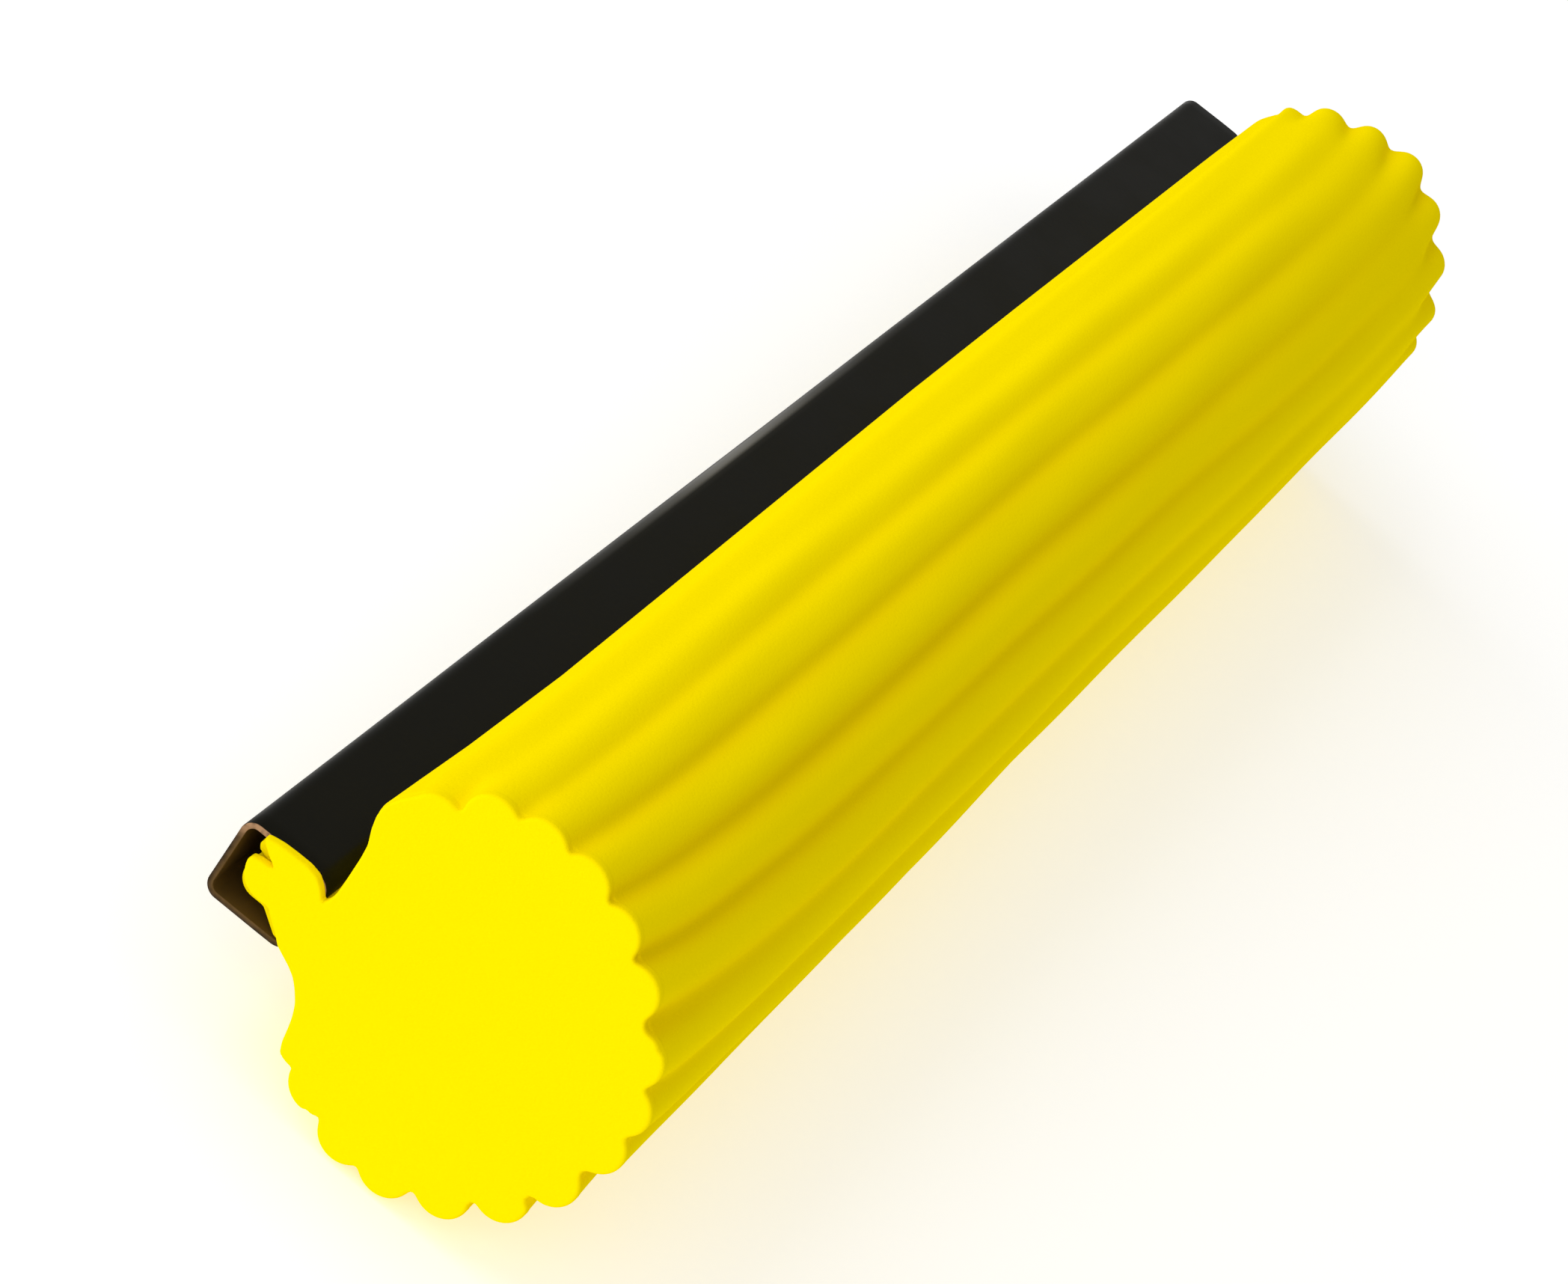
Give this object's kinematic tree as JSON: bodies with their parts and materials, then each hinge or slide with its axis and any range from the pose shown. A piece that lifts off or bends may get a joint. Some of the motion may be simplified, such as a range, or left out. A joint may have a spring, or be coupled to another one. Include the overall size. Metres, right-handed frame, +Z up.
{
  "type": "sponge roll refill",
  "caption": "Fluted round sponge roll whose split bulb slides into a black lipped channel rail, a refill that bolts to a mop or wash-up float by the rail's back.",
  "frame": {"origin": "centre of the bounding box in plan, on the surface that the roll lies on", "axes": "+X along the roll to its flush end, -Y out of the rail's back face, +Z up as the roll lies on its side"},
  "size_m": [0.408, 0.0657, 0.0619],
  "materials": {
    "sponge": "matte",
    "rail": "satin",
    "nuts": "satin"
  },
  "bodies": {
    "rail": {"clamp_rail": "rail", "square_nuts": "nuts"},
    "sponge": {"sponge_roll": "sponge"}
  },
  "joints": [
    {"name": "sponge_slide", "type": "slide", "parent": "rail", "child": "sponge", "axis": [1, 0, 0], "range_m": [0, 0.39]}
  ]
}
